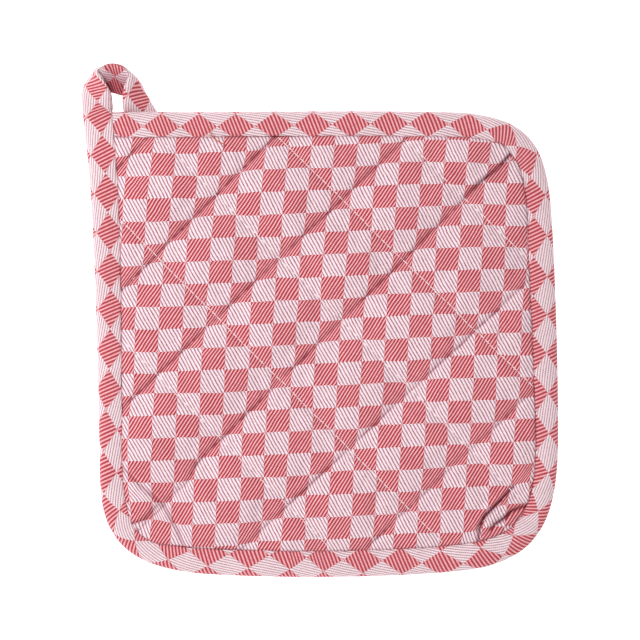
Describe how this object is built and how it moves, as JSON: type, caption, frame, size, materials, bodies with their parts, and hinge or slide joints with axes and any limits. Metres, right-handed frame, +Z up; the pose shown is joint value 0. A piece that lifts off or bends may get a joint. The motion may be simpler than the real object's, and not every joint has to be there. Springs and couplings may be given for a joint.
{
  "type": "pot holder",
  "caption": "Square quilted cloth pot holder in red and white check, with a bias-bound edge and a tape hanging loop at one corner.",
  "frame": {"origin": "centre of the bounding box in plan, on the surface that the pot holder lies on", "axes": "+Z up out of the face, +Y towards the top edge beside the loop, +X to the right; the loop is at -X +Y"},
  "size_m": [0.2077, 0.2237, 0.0117],
  "materials": {
    "checked_cotton": "matte woven twill, red and white check",
    "checked_bias_tape": "matte woven twill cut on the bias, so the checks lie as diamonds"
  },
  "bodies": {
    "root": {"quilted_pad": "checked_cotton", "edge_binding": "checked_bias_tape", "hanging_loop": "checked_bias_tape"}
  },
  "joints": []
}
